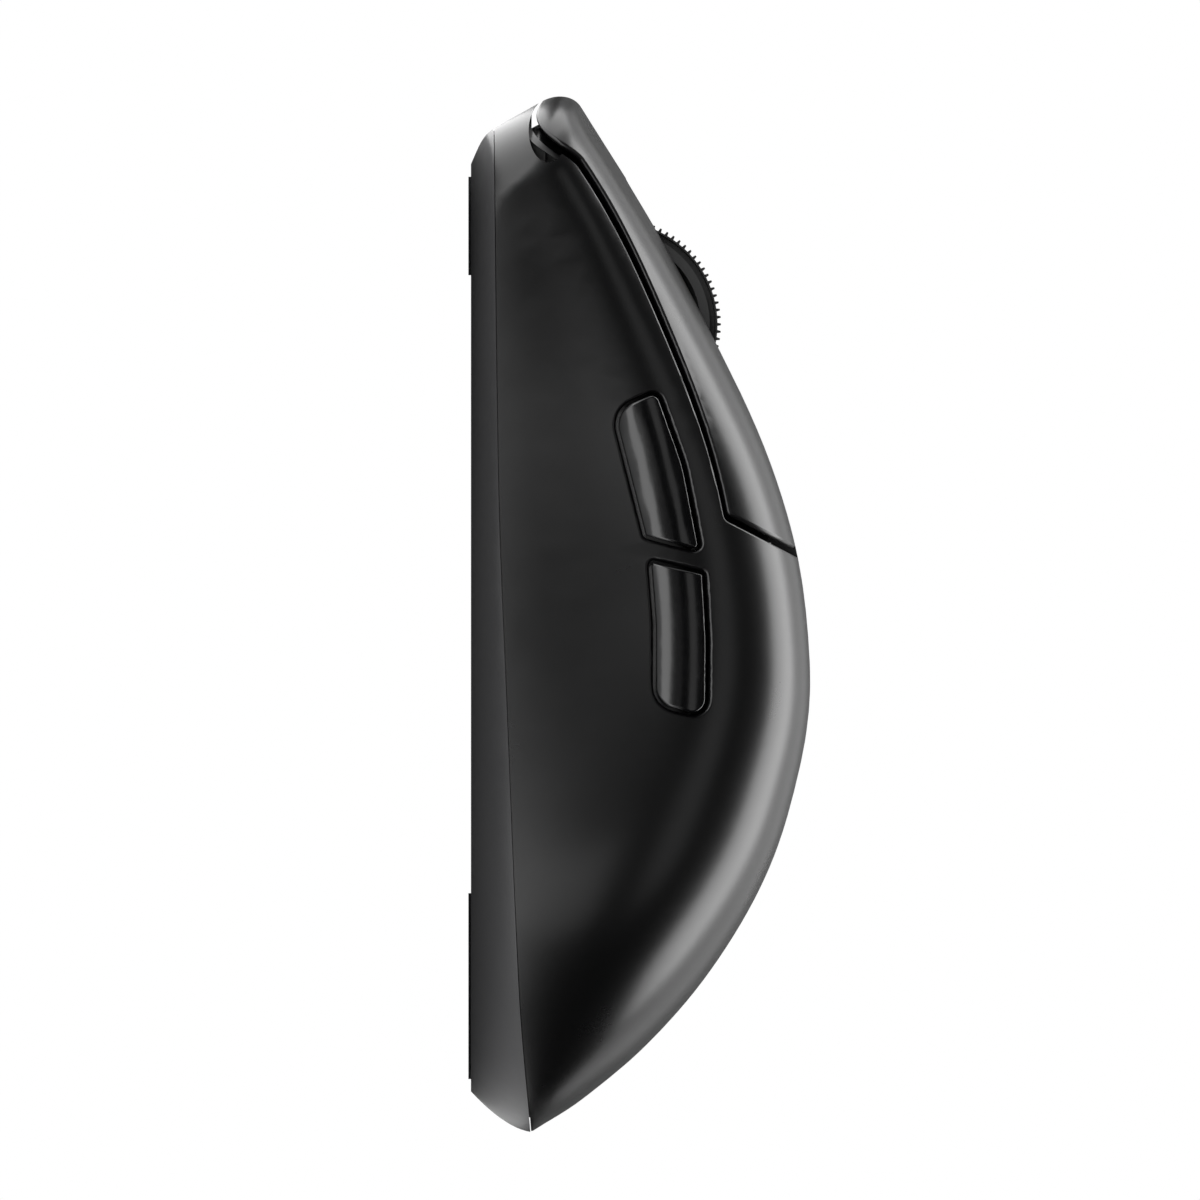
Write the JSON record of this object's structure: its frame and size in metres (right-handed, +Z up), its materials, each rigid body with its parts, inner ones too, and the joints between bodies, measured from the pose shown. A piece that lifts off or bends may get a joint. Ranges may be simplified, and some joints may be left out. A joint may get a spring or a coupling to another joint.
{
  "type": "wireless gaming mouse",
  "caption": "Low, symmetrical wireless gaming mouse with two click plates, a ribbed scroll wheel and two side buttons on the left, on thin slippery feet.",
  "frame": {"origin": "on the surface that the mouse stands on, under the middle of its length and width", "axes": "+Y towards the nose with the click plates, +X to the mouse's right, +Z up"},
  "size_m": [0.0628, 0.1211, 0.04],
  "materials": {
    "satin_shell": "fine-grained satin black",
    "gloss_button": "semi-gloss black",
    "glide_foot": "smooth dark PTFE",
    "screw_steel": "zinc-plated",
    "switch_case": "moulded black nylon",
    "plunger_white": "natural white acetal",
    "circuit_board": "green solder mask",
    "ribbon_film": "amber film",
    "clear_lens": "clear polished",
    "lamp_resin": "dark red tinted resin",
    "socket_steel": "bright stainless steel",
    "cell_foil": "laminated foil pouch",
    "foam_pad": "closed-cell foam",
    "lead_sleeve": "red silicone sleeve",
    "wheel_plastic": "satin dark grey",
    "tyre_rubber": "matt ribbed",
    "carriage_plastic": "moulded black acetal"
  },
  "bodies": {
    "mouse_body": {"base_shell": "satin_shell", "top_shell": "satin_shell", "front_skate": "glide_foot", "rear_skate": "glide_foot", "shell_screws": "screw_steel", "plate_screws": "screw_steel", "main_board": "circuit_board", "board_screws": "screw_steel", "side_board": "circuit_board", "side_board_screws": "screw_steel", "left_click_switch": "switch_case", "right_click_switch": "switch_case", "middle_switch": "switch_case", "forward_switch": "switch_case", "back_switch": "switch_case", "sensor_lens": "clear_lens", "motion_sensor": "switch_case", "board_chips": "switch_case", "charging_socket": "socket_steel", "battery": "cell_foil", "battery_pad": "foam_pad", "battery_plug": "plunger_white", "battery_leads": "lead_sleeve", "ribbon": "ribbon_film", "ribbon_plug": "plunger_white", "wheel_lamp": "lamp_resin", "wheel_receiver": "lamp_resin", "power_switch": "switch_case", "dpi_switch": "switch_case"},
    "left_click": {"left_click_plate": "satin_shell"},
    "right_click": {"right_click_plate": "satin_shell"},
    "forward_key": {"forward_button": "gloss_button"},
    "back_key": {"back_button": "gloss_button"},
    "wheel_frame": {"wheel_carriage": "carriage_plastic"},
    "scroll_wheel": {"wheel_hub": "wheel_plastic", "wheel_tyre": "tyre_rubber", "wheel_axle": "socket_steel"},
    "left_switch_key": {"left_click_plunger": "plunger_white"},
    "right_switch_key": {"right_click_plunger": "plunger_white"},
    "middle_switch_key": {"middle_plunger": "plunger_white"},
    "forward_switch_key": {"forward_plunger": "plunger_white"},
    "back_switch_key": {"back_plunger": "plunger_white"},
    "slider": {"power_slider": "gloss_button"},
    "dpi_key": {"dpi_button": "gloss_button"}
  },
  "joints": [
    {"name": "left_click_flex", "type": "hinge", "parent": "mouse_body", "child": "left_click", "pos_m": [0, 0.0095, 0.0325], "axis": [-1, 0, 0], "range_deg": [0, 0.33], "stiffness_Nm_per_rad": 2},
    {"name": "right_click_flex", "type": "hinge", "parent": "mouse_body", "child": "right_click", "pos_m": [0, 0.0095, 0.0325], "axis": [-1, 0, 0], "range_deg": [0, 0.33], "stiffness_Nm_per_rad": 2},
    {"name": "forward_press", "type": "slide", "parent": "mouse_body", "child": "forward_key", "axis": [1, 0, 0], "range_m": [0, 0.00045], "stiffness_N_per_m": 900},
    {"name": "back_press", "type": "slide", "parent": "mouse_body", "child": "back_key", "axis": [1, 0, 0], "range_m": [0, 0.00045], "stiffness_N_per_m": 900},
    {"name": "wheel_press", "type": "hinge", "parent": "mouse_body", "child": "wheel_frame", "pos_m": [0, 0.0478, 0.0096], "axis": [1, 0, 0], "range_deg": [0, 0.8], "stiffness_Nm_per_rad": 1.2},
    {"name": "wheel_spin", "type": "hinge", "parent": "wheel_frame", "child": "scroll_wheel", "pos_m": [0, 0.03395, 0.0171], "axis": [1, 0, 0], "continuous": true},
    {"name": "left_switch_press", "type": "slide", "parent": "mouse_body", "child": "left_switch_key", "axis": [0, 0, -1], "range_m": [0, 0.00024]},
    {"name": "right_switch_press", "type": "slide", "parent": "mouse_body", "child": "right_switch_key", "axis": [0, 0, -1], "range_m": [0, 0.00024]},
    {"name": "middle_switch_press", "type": "slide", "parent": "mouse_body", "child": "middle_switch_key", "axis": [0, 0, -1], "range_m": [0, 0.00045]},
    {"name": "forward_switch_press", "type": "slide", "parent": "mouse_body", "child": "forward_switch_key", "axis": [1, 0, 0], "range_m": [0, 0.0005]},
    {"name": "back_switch_press", "type": "slide", "parent": "mouse_body", "child": "back_switch_key", "axis": [1, 0, 0], "range_m": [0, 0.0005]},
    {"name": "power_slide", "type": "slide", "parent": "mouse_body", "child": "slider", "axis": [0, 1, 0], "range_m": [0, 0.0025]},
    {"name": "dpi_press", "type": "slide", "parent": "mouse_body", "child": "dpi_key", "axis": [0, 0, 1], "range_m": [0, 0.00025], "stiffness_N_per_m": 900}
  ],
  "couplings": [
    {"joint": "left_switch_press", "follows": "left_click_flex", "m_per_rad": 0.0351},
    {"joint": "right_switch_press", "follows": "right_click_flex", "m_per_rad": 0.0351},
    {"joint": "middle_switch_press", "follows": "wheel_press", "m_per_rad": 0.0286},
    {"joint": "forward_switch_press", "follows": "forward_press", "ratio": 1},
    {"joint": "back_switch_press", "follows": "back_press", "ratio": 1}
  ]
}
